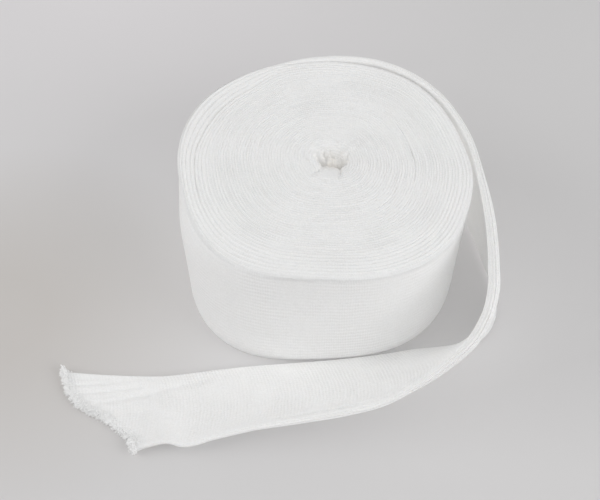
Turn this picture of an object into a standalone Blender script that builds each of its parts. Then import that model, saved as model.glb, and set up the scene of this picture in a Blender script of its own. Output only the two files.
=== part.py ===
"""A roll of white tubular cotton stockinette, standing on its end, with its loose end laid out in front.

One knitted tube is pressed flat and wound up. The roll is the wound body. The tail is the last stretch of the
same flattened tube: it leaves the roll at the back, runs round the right side on edge, turns over towards the
front and lies on the surface, to a raw cut end.

Units are metres, +Z is up, and the origin is the middle of the roll's foot.
"""

import math

import bpy
import numpy as np

MM = 0.001

# Driving sizes of the roll
ROLL_HEIGHT = 100 * MM
ROLL_RADIUS = 110 * MM
WALL_TAPER = 4.7 * MM
FOOT_ROUNDING = 5.0 * MM
FOOT_ROUNDING_HEIGHT = 18 * MM
FOOT_ROUNDING_POWER = 2.5
RIM_ROUNDING = 1.6 * MM
TURN_THICKNESS = 2.6 * MM
STEP_ANGLE = 103.0

# How the outline departs from a circle: each wave's number, and its cosine and sine share of the radius
OUTLINE_WAVES = (
    # waves, cosine share, sine share
    (2, -0.035, 0.005),
    (3, 0.008, -0.017),
    (4, -0.026, -0.007),
    (5, 0.003, 0.011),
)

# The upper wall leans in at the front left, so the rim stands inside the foot there
LEAN_ANGLE = 244.0
LEAN_HALF_WIDTH = 48.0
LEAN_IN = 7.0 * MM

# The top of the wall is a soft rounded shoulder at the front left, where the outer turns have slipped
SHOULDER_ANGLE = 212.0
SHOULDER_HALF_WIDTH = 42.0
SHOULDER_IN = 7.5 * MM
SHOULDER_START_SHARE = 0.72
SHOULDER_POWER = 2.2

# The outer turns slip down on the left and the front left
SLIP_ANGLE = 205.0
SLIP_HALF_WIDTH = 75.0
SLIP_DROP = 4.5 * MM
SLIP_SHARE = 0.17

# The open groove between two turns on the left of the top face
GROOVE_DEPTH = 2.4 * MM
GROOVE_HALF_WIDTH = 0.022
GROOVE_FADE_ANGLE = 22.0
GROOVE_ROWS = (
    # angle in degrees, share of the radius
    (92, 0.850),
    (121, 0.838),
    (144, 0.836),
    (159, 0.852),
    (172, 0.880),
    (189, 0.902),
    (211, 0.905),
    (230, 0.898),
    (248, 0.884),
)

# The drawn-in middle of the top face
PUCKER_X = 8 * MM
PUCKER_Y = 6 * MM
PUCKER_REACH = 24 * MM
PUCKER_DEPTH = 6.5 * MM
PUCKER_FOLDS = 7
PUCKER_FOLD_DEPTH = 1.3 * MM
PUCKER_FOLD_START = 7 * MM
TUFT_REACH = 8 * MM
TUFT_HEIGHT = 4.5 * MM
DISH_DEPTH = 1.2 * MM
DISH_SHARES = (0.1, 0.8)
RIM_ROUNDING_SHARE = 0.955

# The faces under the foot meet off the origin, so that the origin lies inside one face
FOOT_FAN = (3 * MM, 2 * MM, 0.0)

# Mesh steps of the roll
ROLL_SIDES = 92
STEP_HALF_ANGLE = 0.5
WALL_HEIGHT_SHARES = (0.0, 0.015, 0.06, 0.16, 0.38, 0.62, 0.78, 0.85, 0.89)
OUTER_SHARES = (0.990, 0.962, 0.928)
INNER_SHARES = (0.730, 0.640, 0.500, 0.350)
PUCKER_RINGS = (26 * MM, 19 * MM, 13 * MM, 8 * MM, 4 * MM)

# Where the tail runs beside the roll: gaps go from the roll's rim to the middle of the cloth
BESIDE_ROLL_ROWS = (
    # angle in degrees, upper edge's gap in mm, lower edge's gap in mm, lower edge's height in mm
    (102.0, 1.9, -1.7, 2.2),
    (95.0, 2.6, -0.6, 2.2),
    (82.0, 4.4, 2.4, 2.2),
    (68.0, 5.8, 6.0, 2.4),
    (54.0, 6.2, 9.5, 2.6),
    (40.0, 5.6, 12.0, 2.8),
    (26.0, 5.2, 13.8, 3.0),
    (13.0, 5.6, 16.0, 3.0),
)

# Where the tail runs free: both edges of the cloth, in mm
FREE_ROWS = (
    # lower edge x, y, z, then upper edge x, y, z
    (125.0, -6.0, 3.0, 109.5, -16.0, 100.0),
    (128.5, -26.0, 3.0, 112.0, -42.0, 100.0),
    (129.5, -45.0, 3.0, 112.5, -68.0, 100.0),
    (125.0, -61.0, 3.0, 111.5, -92.0, 99.5),
    (117.0, -73.0, 2.8, 109.0, -112.0, 97.0),
    (107.0, -81.0, 2.6, 104.0, -127.0, 91.5),
    (95.0, -86.0, 2.4, 97.0, -138.0, 82.0),
    (81.0, -89.5, 2.2, 88.0, -145.0, 71.0),
    (68.5, -92.0, 2.0, 76.0, -149.5, 60.0),
    (52.5, -95.0, 2.0, 60.0, -153.5, 50.0),
    (33.5, -98.0, 2.0, 41.0, -158.5, 40.5),
    (10.5, -101.0, 2.0, 18.0, -162.5, 32.5),
    (-22.0, -104.0, 2.0, -15.0, -166.0, 25.0),
    (-55.0, -107.0, 2.0, -48.0, -169.0, 18.0),
    (-78.0, -110.0, 2.0, -72.0, -172.0, 12.0),
    (-98.0, -113.0, 2.0, -93.0, -174.5, 9.0),
    (-109.0, -114.5, 2.0, -104.0, -174.5, 11.0),
    (-119.0, -114.8, 2.0, -115.0, -175.0, 8.0),
    (-130.0, -114.5, 2.0, -127.0, -176.5, 3.5),
    (-158.0, -113.0, 2.0, -156.0, -177.0, 3.0),
    (-184.0, -110.5, 2.0, -184.0, -177.0, 3.0),
)

# The slanting raw end: how far it stops short of the far corner, across the cloth from the far edge
CUT_ROWS = (
    # share across, distance short of the end in mm
    (0.00, 0.0),
    (0.14, 2.0),
    (0.28, 6.0),
    (0.40, 13.0),
    (0.56, 32.0),
    (0.72, 44.0),
    (0.84, 53.0),
    (1.00, 57.0),
)

# The pressed tube is thin across its middle and puffs up along its folded edges
CLOTH_THICKNESS = 2.4 * MM
UPPER_EDGE_THICKNESS_ROWS = (
    # distance along the tail in mm, thickness in mm
    (0.0, 2.6),
    (40.0, 4.4),
    (160.0, 5.4),
    (230.0, 7.6),
    (300.0, 7.6),
    (380.0, 5.6),
    (460.0, 4.4),
    (640.0, 3.6),
)
LOWER_EDGE_THICKNESS = 3.4 * MM
EDGE_FADE = 12 * MM
ACROSS_SHARES = (0.0, 0.012, 0.04, 0.09, 0.22, 0.50, 0.78, 0.90, 0.955, 0.985, 1.0)
TAIL_STEP = 6.5 * MM
HEADING_STEP = 0.1 * MM


def smooth_step(value, low, high):
    share = np.clip((value - low) / (high - low), 0.0, 1.0)
    return share * share * (3.0 - 2.0 * share)


def angle_apart(first, second):
    return abs((first - second + 180.0) % 360.0 - 180.0)


def lean(angle):
    """How far the rim stands in over the foot at an angle."""
    return LEAN_IN * (1.0 - smooth_step(angle_apart(angle, LEAN_ANGLE), 0.0, LEAN_HALF_WIDTH))


def shoulder(angle):
    """How far the rim is drawn in by the rounded shoulder at an angle."""
    return SHOULDER_IN * (1.0 - smooth_step(angle_apart(angle, SHOULDER_ANGLE), 0.0, SHOULDER_HALF_WIDTH))


def rim_radius(angle):
    """The roll's radius at its rim, at an angle in degrees, with the step where the last turn comes away."""
    turn = math.radians(angle)
    share = 1.0
    for waves, cosine, sine in OUTLINE_WAVES:
        share += cosine * math.cos(waves * turn) + sine * math.sin(waves * turn)
    wound = ((angle - STEP_ANGLE) % 360.0) / 360.0
    return ROLL_RADIUS * share + TURN_THICKNESS * (0.5 - wound) - lean(angle) - shoulder(angle)


def wall_inset(angle, height):
    """How far the wall stands inside the rim at a height. It is negative where the wall stands outside it."""
    foot = max(0.0, 1.0 - height / FOOT_ROUNDING_HEIGHT)
    taper = WALL_TAPER - lean(angle)
    top = top_height(angle, 1.0) / ROLL_HEIGHT
    rise = np.clip((height / ROLL_HEIGHT - SHOULDER_START_SHARE) / (top - SHOULDER_START_SHARE), 0.0, 1.0)
    round_over = shoulder(angle) * (1.0 - rise ** SHOULDER_POWER)
    return taper * (1.0 - height / ROLL_HEIGHT) + FOOT_ROUNDING * foot ** FOOT_ROUNDING_POWER - round_over


def slip(angle):
    """How far the outermost turn has slipped down at an angle."""
    return SLIP_DROP * (1.0 - smooth_step(angle_apart(angle, SLIP_ANGLE), 0.0, SLIP_HALF_WIDTH))


def groove_middle(angle):
    """The groove's share of the radius at an angle, on a smooth curve through its rows."""
    rows = np.array(GROOVE_ROWS, float)
    wanted = np.clip(np.array([angle]), rows[0, 0], rows[-1, 0])
    return float(smooth_curve(rows[:, 0], rows[:, 1:], wanted)[0, 0])


def top_height(angle, share):
    """The height of the top face at a share of the radius, without the drawn-in middle."""
    height = ROLL_HEIGHT - DISH_DEPTH * (1.0 - smooth_step(share, *DISH_SHARES))
    height -= slip(angle) * smooth_step(share, 1.0 - SLIP_SHARE, 1.0)
    height -= RIM_ROUNDING * smooth_step(share, RIM_ROUNDING_SHARE, 1.0) ** 2
    near = max(0.0, 1.0 - abs(share - groove_middle(angle)) / GROOVE_HALF_WIDTH)
    from_start = smooth_step(angle - GROOVE_ROWS[0][0], 0.0, GROOVE_FADE_ANGLE)
    from_end = smooth_step(GROOVE_ROWS[-1][0] - angle, 0.0, GROOVE_FADE_ANGLE)
    return height - GROOVE_DEPTH * near * from_start * from_end


def pucker_drop(angle, distance):
    """How far the middle of the top face is drawn in, with its radial folds."""
    turn = math.radians(angle)
    deep = 1.0 - smooth_step(distance, 0.0, PUCKER_REACH)
    fold = math.cos(PUCKER_FOLDS * turn + 0.8 * math.sin(2.0 * turn))
    folded = smooth_step(distance, 0.0, PUCKER_FOLD_START) * deep
    tuft = TUFT_HEIGHT * (1.0 - smooth_step(distance, 0.0, TUFT_REACH))
    return PUCKER_DEPTH * deep ** 1.5 + PUCKER_FOLD_DEPTH * folded * fold - tuft


def roll_point(angle, share, height, inset=0.0):
    """A point at a share of the way from the drawn-in middle to the outline."""
    turn = math.radians(angle)
    reach = share * (rim_radius(angle) - inset)
    x = reach * math.cos(turn) + (1.0 - share) * PUCKER_X
    y = reach * math.sin(turn) + (1.0 - share) * PUCKER_Y
    return (x, y, height)


def roll_angles():
    """Even angles, with one close pair that makes the step in the outline."""
    span = 360.0 - 2.0 * STEP_HALF_ANGLE
    start = STEP_ANGLE + STEP_HALF_ANGLE
    return [(start + span * i / (ROLL_SIDES - 1)) % 360.0 for i in range(ROLL_SIDES)]


def roll_rings():
    """The roll's rings of points, from the foot's flat up the wall and over the top to the middle."""
    angles = roll_angles()
    rings = []
    for share in WALL_HEIGHT_SHARES:
        height = share * ROLL_HEIGHT
        rings.append([roll_point(a, 1.0, height, wall_inset(a, height)) for a in angles])
    rings.append([roll_point(a, 1.0, top_height(a, 1.0) - RIM_ROUNDING) for a in angles])
    for share in OUTER_SHARES:
        rings.append([roll_point(a, share, top_height(a, share)) for a in angles])
    # Three rings follow the groove's outer lip, bottom and inner lip
    for side in (1.0, 0.0, -1.0):
        ring = []
        for a in angles:
            share = groove_middle(a) + side * GROOVE_HALF_WIDTH
            ring.append(roll_point(a, share, top_height(a, share)))
        rings.append(ring)
    for share in INNER_SHARES:
        rings.append([roll_point(a, share, top_height(a, share)) for a in angles])
    for distance in PUCKER_RINGS:
        ring = []
        for a in angles:
            share = distance / rim_radius(a)
            ring.append(roll_point(a, share, top_height(a, share) - pucker_drop(a, distance)))
        rings.append(ring)
    return rings


def mesh_object(name, points, faces, material):
    mesh = bpy.data.meshes.new(name)
    mesh.from_pydata(points, [], faces)
    mesh.materials.append(material)
    mesh.shade_smooth()
    mesh.set_sharp_from_angle(angle=math.radians(50.0))
    mesh.update()
    obj = bpy.data.objects.new(name, mesh)
    bpy.context.scene.collection.objects.link(obj)
    return obj


def make_roll(material):
    rings = roll_rings()
    points = [point for ring in rings for point in ring]
    faces = []
    for lower in range(len(rings) - 1):
        for i in range(ROLL_SIDES):
            j = (i + 1) % ROLL_SIDES
            first, second = lower * ROLL_SIDES, (lower + 1) * ROLL_SIDES
            faces.append((first + i, first + j, second + j, second + i))
    foot_middle = len(points)
    points.append(FOOT_FAN)
    top_middle = len(points)
    points.append((PUCKER_X, PUCKER_Y, top_height(0.0, 0.0) - pucker_drop(0.0, 0.0)))
    last = (len(rings) - 1) * ROLL_SIDES
    for i in range(ROLL_SIDES):
        j = (i + 1) % ROLL_SIDES
        faces.append((foot_middle, j, i))
        faces.append((top_middle, last + i, last + j))
    return mesh_object("roll", points, faces, material)


def tail_edge_rows():
    """The tail's two edges at each hand-placed row, as arrays of points in metres."""
    lower, upper = [], []
    for angle, upper_gap, lower_gap, lower_z in BESIDE_ROLL_ROWS:
        turn = math.radians(angle)
        # Read just clockwise of the step, where the roll has lost its last turn
        rim = rim_radius(min(angle, STEP_ANGLE - STEP_HALF_ANGLE))
        outer = rim + upper_gap * MM
        inner = rim + lower_gap * MM
        upper.append((outer * math.cos(turn), outer * math.sin(turn), ROLL_HEIGHT))
        lower.append((inner * math.cos(turn), inner * math.sin(turn), lower_z * MM))
    for row in FREE_ROWS:
        lower.append(tuple(value * MM for value in row[:3]))
        upper.append(tuple(value * MM for value in row[3:]))
    return np.array(lower), np.array(upper)


def smooth_curve(places, points, wanted):
    """A cubic curve through points at given places along it, read at the wanted places."""
    slopes = np.gradient(points, places, axis=0)
    index = np.clip(np.searchsorted(places, wanted) - 1, 0, len(places) - 2)
    span = (places[index + 1] - places[index])[:, None]
    t = ((wanted - places[index])[:, None]) / span
    start = (2 * t ** 3 - 3 * t ** 2 + 1) * points[index] + (t ** 3 - 2 * t ** 2 + t) * span * slopes[index]
    end = (3 * t ** 2 - 2 * t ** 3) * points[index + 1] + (t ** 3 - t ** 2) * span * slopes[index + 1]
    return start + end


def half_thickness(distance_in, thickness):
    """Half the cloth's thickness at a distance in from an edge whose puffed thickness is given."""
    bead = thickness / 2.0
    round_end = math.sqrt(max(0.0, 1.0 - (1.0 - min(distance_in / bead, 1.0)) ** 2))
    fade = smooth_step(distance_in, bead, bead + EDGE_FADE)
    return round_end * (bead + (CLOTH_THICKNESS / 2.0 - bead) * fade)


def tail_section(places, lower_rows, upper_rows, along):
    """The tail's section at a distance along it, as one closed loop of points."""
    length = places[-1]
    upper_places, upper_thickness = zip(*UPPER_EDGE_THICKNESS_ROWS)
    cut_shares, cut_backs = zip(*CUT_ROWS)
    slant = max(cut_backs) * MM
    front, back = [], []
    for share in ACROSS_SHARES:
        # The raw end slants, so each lengthwise line is drawn back over the last stretch
        short = np.interp(share, cut_shares, cut_backs) * MM
        place = along - short * smooth_step(along, length - 2.0 * slant, length)
        reads = np.clip([place - HEADING_STEP, place, place + HEADING_STEP], 0.0, length)
        low = smooth_curve(places, lower_rows, reads)
        high = smooth_curve(places, upper_rows, reads)
        line = low + (high - low) * share
        cross = high[1] - low[1]
        width = np.linalg.norm(cross)
        facing = np.cross(line[2] - line[0], cross)
        facing /= np.linalg.norm(facing)
        if share > 0.5:
            puffed = np.interp(place / MM, upper_places, upper_thickness) * MM
            half = half_thickness((1.0 - share) * width, puffed)
        else:
            half = half_thickness(share * width, LOWER_EDGE_THICKNESS)
        front.append(line[1] + facing * half)
        back.append(line[1] - facing * half)
    # The two edge points of a section belong to both faces, so each is kept once
    return front + back[-2:0:-1]


def tail_faces(stations, around):
    """The faces between the tail's sections, and the strips that close its two ends."""
    faces = []
    for station in range(stations):
        first, second = station * around, (station + 1) * around
        for i in range(around):
            j = (i + 1) % around
            faces.append((first + i, second + i, second + j, first + j))
    for ring, starts in ((0, True), (stations * around, False)):
        for i in range(around // 2):
            corners = [ring + i, ring + i + 1, ring + (around - i - 1) % around, ring + (around - i) % around]
            strip = list(dict.fromkeys(corners))
            faces.append(tuple(strip if starts else reversed(strip)))
    return faces


def make_tail(material):
    lower_rows, upper_rows = tail_edge_rows()
    middle_rows = (lower_rows + upper_rows) / 2.0
    steps = np.linalg.norm(np.diff(middle_rows, axis=0), axis=1)
    places = np.concatenate([[0.0], np.cumsum(steps)])
    stations = round(places[-1] / TAIL_STEP)
    points = []
    for station in range(stations + 1):
        along = places[-1] * station / stations
        points.extend(tuple(p) for p in tail_section(places, lower_rows, upper_rows, along))
    faces = tail_faces(stations, 2 * len(ACROSS_SHARES) - 2)
    return mesh_object("tail", points, faces, material)


def cotton_knit():
    material = bpy.data.materials.new("white cotton knit")
    material.use_nodes = True
    shader = material.node_tree.nodes["Principled BSDF"]
    shader.inputs["Base Color"].default_value = (0.86, 0.86, 0.85, 1.0)
    shader.inputs["Roughness"].default_value = 0.92
    shader.inputs["Metallic"].default_value = 0.0
    return material


def clear_scene():
    for obj in list(bpy.data.objects):
        bpy.data.objects.remove(obj, do_unlink=True)


def main():
    clear_scene()
    knit = cotton_knit()
    make_roll(knit)
    make_tail(knit)


main()
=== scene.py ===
"""The looks of a roll of white tubular cotton stockinette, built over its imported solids.

The roll is wound here turn by turn: each turn of the flattened tube shows its folded edge on the top and on
the foot, and the last turn's outer face is the wall. The tail is the same flattened tube running free, with
puffed folded edges and an open frayed end. Units are metres and +Z is up.
"""

import math

import bpy
import numpy as np
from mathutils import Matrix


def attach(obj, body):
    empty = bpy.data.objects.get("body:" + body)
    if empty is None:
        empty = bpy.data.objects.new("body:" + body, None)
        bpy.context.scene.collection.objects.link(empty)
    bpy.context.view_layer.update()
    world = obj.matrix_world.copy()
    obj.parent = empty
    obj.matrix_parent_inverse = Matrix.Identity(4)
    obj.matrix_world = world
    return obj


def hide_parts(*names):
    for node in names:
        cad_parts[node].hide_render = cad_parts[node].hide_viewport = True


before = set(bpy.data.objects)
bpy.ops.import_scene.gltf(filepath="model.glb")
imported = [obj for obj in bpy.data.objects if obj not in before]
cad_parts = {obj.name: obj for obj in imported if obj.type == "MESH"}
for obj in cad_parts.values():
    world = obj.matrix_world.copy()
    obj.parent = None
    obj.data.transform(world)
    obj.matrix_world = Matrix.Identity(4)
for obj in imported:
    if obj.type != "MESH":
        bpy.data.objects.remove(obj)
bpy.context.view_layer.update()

MM = 0.001
LOWEST = 0.05 * MM
LEAST_LENGTH = 1e-12

# The camera stands where the photograph was taken from
CAMERA_PLACE = (-0.0150, -0.5817, 0.6779)
CAMERA_PITCH_DOWN = 49.11
CAMERA_LENS = 69.45
CAMERA_SENSOR = 36.0
CAMERA_NEAR = 0.01

# The roll's form, the same sizes as its solid
ROLL_HEIGHT = 100 * MM
ROLL_RADIUS = 110 * MM
WALL_TAPER = 4.7 * MM
FOOT_ROUNDING = 5.0 * MM
FOOT_ROUNDING_HEIGHT = 18 * MM
FOOT_ROUNDING_POWER = 2.5
RIM_ROUNDING = 1.6 * MM
RIM_ROUNDING_SHARE = 0.955
TURN_THICKNESS = 2.6 * MM
STEP_ANGLE = 103.0
OUTLINE_WAVES = (
    # waves round the outline, cosine share, sine share
    (2, -0.035, 0.005),
    (3, 0.008, -0.017),
    (4, -0.026, -0.007),
    (5, 0.003, 0.011),
)
LEAN_ANGLE = 244.0
LEAN_HALF_WIDTH = 48.0
LEAN_IN = 7.0 * MM
SHOULDER_ANGLE = 212.0
SHOULDER_HALF_WIDTH = 42.0
SHOULDER_IN = 7.5 * MM
SHOULDER_START_SHARE = 0.72
SHOULDER_POWER = 2.2
BULGE_ROWS = (
    # middle angle, half the angle it runs, how far the rim stands out in mm
    (52, 30, 2.9),
    (354, 24, 2.6),
)
BULGE_HEIGHT_SHARES = (0.35, 0.95)
SLIP_ANGLE = 205.0
SLIP_HALF_WIDTH = 75.0
SLIP_DROP = 4.5 * MM
SLIP_SHARE = 0.17
PUCKER_X = 8 * MM
PUCKER_Y = 6 * MM
PUCKER_REACH = 24 * MM
PUCKER_DEPTH = 6.5 * MM
PUCKER_POWER = 1.5
DISH_DEPTH = 1.2 * MM
DISH_SHARES = (0.1, 0.8)

# Irregular values are sums of crossed waves
NOISE_WAVES = 5
NOISE_MOST_ROUND = 7
NOISE_SPEEDS = (0.7, 0.61, 0.13)
NOISE_PHASE = 1.9

# How the tube is wound: loose over the outer turns, tight inside
TURNS = 51.4
CORE_TURNS = 2.6
OUTER_PITCH = 2.8 * MM
INNER_PITCH = 2.05 * MM
LOOSE_TURNS = (5.0, 11.0)
STATION_LENGTH = 3.0 * MM
STATION_ANGLE = 4.0

# The folded edge that each turn shows: a rounded ridge between two crevices
RIDGE_DEPTH = 0.95 * MM
FLANGE_DEPTH = 2.0
RIDGE_ROWS = (
    # share across the turn, depth in ridge depths
    (-0.04, 3.0),
    (0.00, 1.15),
    (0.08, 0.50),
    (0.24, 0.15),
    (0.50, 0.00),
    (0.76, 0.15),
    (0.92, 0.50),
    (1.00, 1.15),
    (1.04, 3.0),
)
TURN_UNEVENNESS = 0.22 * MM
TURN_WAVE_SPEED = 11.0
EVEN_RIM_SHARE = 0.97
SIDE_UNEVENNESS = 0.34 * MM
SIDE_WAVE_SPEED = 2.3
FINE_SIDE_UNEVENNESS = 0.30 * MM
SIDE_UNEVENNESS_SHARES = (0.05, 0.3, 0.9, 0.985)
INNER_RIDGE_SHARE = 0.22
OUTER_RIDGE_TURNS = (4.5, 8.0)
OUTER_RIDGE_ROWS = (
    # angle in degrees, strength of the outer turns' ridges
    (0, 0.38),
    (60, 0.36),
    (110, 0.50),
    (140, 0.90),
    (180, 0.80),
    (205, 0.60),
    (228, 0.40),
    (250, 0.20),
    (285, 0.24),
    (312, 0.50),
    (345, 0.46),
    (360, 0.38),
)
RIDGE_VARIATION = 0.65
RIDGE_WAVE_SPEED = 7.0
CORE_SHARES = (0.06, 0.20)
CORE_RIDGE_SHARE = 0.5

# The last turn's outer edge rounds over into the wall
CAP_RADIUS = 1.3 * MM
CAP_STEPS = 6
CAP_SINK = 0.6 * MM
CAP_SINK_TURNS = (0.25, 0.5)

# The groove between two turns on the left follows these shares of the radius
GROOVE_TURNS = 4.0
GROOVE_FADES = (104.0, 126.0, 236.0, 252.0)
GROOVE_ROWS = (
    # angle in degrees, share of the radius
    (104, 0.845),
    (121, 0.838),
    (144, 0.836),
    (159, 0.852),
    (172, 0.880),
    (189, 0.902),
    (211, 0.905),
    (230, 0.898),
    (248, 0.884),
)

# Crevices that stand open: the groove first, then fainter ones further in. Each eases in at both its ends.
GAP_ROWS = (
    # turn, middle angle, half the angle it runs, depth in mm, half width in mm
    (4, 131, 24, 2.6, 0.34),
    (4, 168, 40, 0.9, 0.26),
    (21, 156, 26, 0.45, 0.20),
    (25, 152, 22, 0.30, 0.16),
    (19, 10, 30, 0.9, 0.18),
    (24, 320, 18, 0.6, 0.12),
    (28, 266, 26, 0.5, 0.10),
)
GAP_EASE = 0.35
GAP_LIP_TURNS = 0.16
GAP_PUSH_TURNS = 0.5

# Creases round the drawn-in middle, as straight strokes. A raised fold has a negative depth.
CREASE_ROWS = (
    # from x, from y, to x, to y, half width, depth, in mm
    (-3.2, 13.4, -2.6, 9.4, 1.5, 2.8),
    (-2.6, 9.4, 0.2, 7.6, 1.9, 5.6),
    (0.2, 7.6, 2.6, 6.8, 1.6, 2.8),
    (2.1, 14.6, 3.4, 8.6, 1.3, 1.9),
    (2.6, 6.8, 6.4, 5.9, 1.6, 2.8),
    (6.4, 5.9, 11.1, 5, 1.6, 3),
    (11.1, 5, 13.6, 4.6, 1.6, 2.6),
    (13.6, 4.4, 17.2, 5.6, 1.9, 5.8),
    (17.2, 5.6, 18.9, 9.2, 1.8, 1.8),
    (18.9, 10.8, 19.4, 12.8, 1, 1.2),
    (3.3, 17.4, 5.2, 11.4, 1, -1.6),
    (5.2, 11.4, 9.4, 8.8, 1, -1.8),
    (9.4, 8.8, 14.4, 8.4, 1.1, -2),
    (14.4, 8.4, 17.4, 12.2, 1.2, -1.2),
    (8.6, 10.6, 9.8, 8.8, 1, 1.6),
    (17.2, 11.7, 27.1, 23.1, 1.7, -1.3),
    (20.4, 13.4, 28.2, 20.4, 1.7, 1.3),
    (13.4, 1.4, 13.9, -7, 1.4, 2.1),
    (13.9, -7, 11.9, -12.4, 1.4, 1.3),
    (1.4, 4.6, -2, -3.4, 1.6, 1.9),
    (-2, -3.4, -6.4, -9.6, 1.6, 1.5),
    (-6.5, 8.4, -2, 1.6, 3, -1.3),
    (5, -1.8, 10.5, -2.3, 2.6, -0.9),
    (-18.6, 24.9, -13.2, 12.8, 1.4, 0.9),
    (-13.2, 12.8, -9.6, 6.8, 1.5, 1.6),
    (-11.5, 17.2, -8.5, 10.2, 1.6, -0.6),
    (8, 29.1, 11.5, 23.1, 1.2, 0.8),
    (12.6, 22.7, 12.8, 17.2, 1.5, -0.7),
    (15.4, 22.2, 14.2, 14.7, 1.1, 0.8),
    (-1, 18.2, -5.5, 28.2, 1.8, 0.5),
    (0.6, -14.6, 2.6, -15.4, 1.2, 0.8),
)

# The bunched inner end of the tube fills the middle, level with the drawn-in turns round it
TUFT_X = 8.4 * MM
TUFT_Y = 7.2 * MM
TUFT_HALF_X = 9.0 * MM
TUFT_HALF_Y = 7.2 * MM
TUFT_RISE = 0.45 * MM
TUFT_SIDE = 2.2 * MM
TUFT_SIDE_POWER = 8
TUFT_FOLDS = 9
TUFT_FOLD_TWIST = 2.5
TUFT_FOLD_SHARES = (0.15, 0.6)
TUFT_FOLD_DEPTH = 0.22 * MM
TUFT_EDGE_WAVES = (
    # share of the radius, count round the edge, phase
    (0.07, 3, 0.6),
    (0.05, 5, 0.0),
)
TUFT_FIRST_SHARE = 0.02
TUFT_RINGS = 26
TUFT_SIDES = 72

# Gathers that run in towards the middle. Each wave has its count round the middle and its phase.
GATHER_COUNT = 13
GATHER_DEPTH = 0.30 * MM
GATHER_REACH = (4 * MM, 9 * MM, 14 * MM, 25 * MM)
GATHER_TWIST = 90.0
GATHER_SWAY = 2.4
GATHER_SWAY_WAVE = (2, 0.7)
GATHER_EVENNESS = (0.6, 0.4)
GATHER_EVENNESS_WAVE = (3, 1.1)

# The wall and the foot
WALL_ANGLE_STEP = 1.25
SEAM_CLEARANCE = 0.01
WALL_ROWS = 30
WALL_START = 0.6 * MM
WALL_ROW_GATHERING = 0.35
WALL_UNEVENNESS = 0.35 * MM
WALL_WAVE_SPEED = 5.4
WALL_WAVE_START = 2.0
WALL_WAVE_POWER = 0.7
FOOT_STATION_LENGTH = 6.0 * MM
FOOT_RIDGE_ROWS = (
    # share across the turn, depth in ridge depths
    (-0.03, 2.5),
    (0.06, 0.60),
    (0.30, 0.06),
    (0.70, 0.06),
    (0.94, 0.60),
    (1.03, 2.5),
)
FOOT_UNEVENNESS = 0.12 * MM
FOOT_MIDDLE_RADIUS = 9 * MM
FOOT_MIDDLE_SIDES = 24
FOOT_MIDDLE_HEIGHTS = (0.4 * MM, 1.2 * MM)

# Where the tail leaves the roll and runs beside it: gaps go from the roll's rim to the middle of the cloth
LEAD_ROWS = (
    # angle in degrees, upper edge's gap in mm, lower edge's gap in mm, lower edge's height in mm
    (128, -2, -6.4, 2.2),
    (120, -1.6, -5.8, 2.2),
    (111, -0.9, -5, 2.2),
)
LEAD_FADE = (98.0, 118.0)
LEAD_SINK = 2.9 * MM
LEAD_SINK_ANGLES = (92.0, 126.0)
LEAD_INSET = 0.6 * MM
LEAD_HELD_SHARE = 1.6
LEAD_ANGLES = (STEP_ANGLE + 0.2, 180.0)
BESIDE_ROLL_ROWS = (
    # angle in degrees, upper edge's gap in mm, lower edge's gap in mm, lower edge's height in mm
    (102, 1.2, -1.7, 2.2),
    (95, 2.2, -0.6, 2.2),
    (82, 4.2, 2.4, 2.2),
    (68, 6, 4.6, 2.4),
    (54, 5.1, 6.4, 2.6),
    (40, 5, 9.9, 2.8),
    (26, 5.2, 13.7, 3),
    (13, 5.4, 15.8, 3),
)

# Where the tail runs free: both edges of the cloth, in mm
FREE_ROWS = (
    # lower edge x, y, z, then upper edge x, y, z
    (125, -6, 3, 111.9, -15, 100),
    (128.5, -26, 3, 113.5, -42, 100),
    (129.5, -45, 3, 113.4, -68, 100),
    (127, -63, 3, 112, -92, 99.5),
    (119, -78, 2.8, 110, -112.5, 97),
    (107.5, -86.5, 2.6, 105.4, -128, 91),
    (95, -89.5, 2.4, 97.8, -139, 81.5),
    (81, -91, 2.2, 88, -145.5, 71),
    (68.5, -92, 2, 76, -150, 59),
    (52.5, -95, 2, 60, -155.5, 48),
    (33.5, -98, 2, 41, -161, 37.8),
    (10.5, -101, 2, 18, -164, 31),
    (-22, -104, 2, -15, -166.8, 24.5),
    (-55, -107, 2, -48, -169, 18),
    (-78, -110, 2, -72, -172, 12),
    (-98, -113, 2, -93, -176, 9),
    (-109, -114.5, 2, -104, -174.5, 11),
    (-119, -114.8, 2, -115, -175, 8),
    (-130, -114.5, 2, -127, -176.5, 3.5),
    (-158, -113, 2, -156, -177, 3),
    (-184, -110.5, 2, -184, -177, 3),
)

# The slanting raw end: how far it stops short of the far corner, across the cloth from the far edge
CUT_BACK = 3.5
CUT_ROWS = (
    # share across, distance short of the end in mm
    (0.00, 0),
    (0.14, 2),
    (0.28, 6),
    (0.40, 13),
    (0.56, 32),
    (0.72, 44),
    (0.84, 51.5),
    (1.00, 54),
)

# The pressed tube is thin across its middle and puffs up along its folded edges
TUBE_WIDTH = 100 * MM
CLOTH_THICKNESS = 2.4 * MM
UPPER_EDGE_THICKNESS_ROWS = (
    # distance along the tail in mm, thickness in mm
    (0, 2.6),
    (14, 4),
    (36, 5.9),
    (120, 5.9),
    (150, 5),
    (200, 5.2),
    (250, 7.4),
    (300, 8.4),
    (340, 8.2),
    (385, 5.2),
    (425, 5.6),
    (460, 4.4),
    (560, 3.2),
    (617, 2.2),
)
LOWER_EDGE_THICKNESS = 3.2 * MM
END_EDGE_THICKNESS = 2.0 * MM
END_CLOTH_THICKNESS = 1.5 * MM
END_THINNING = 150 * MM
EDGE_FADE = 12 * MM

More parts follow.
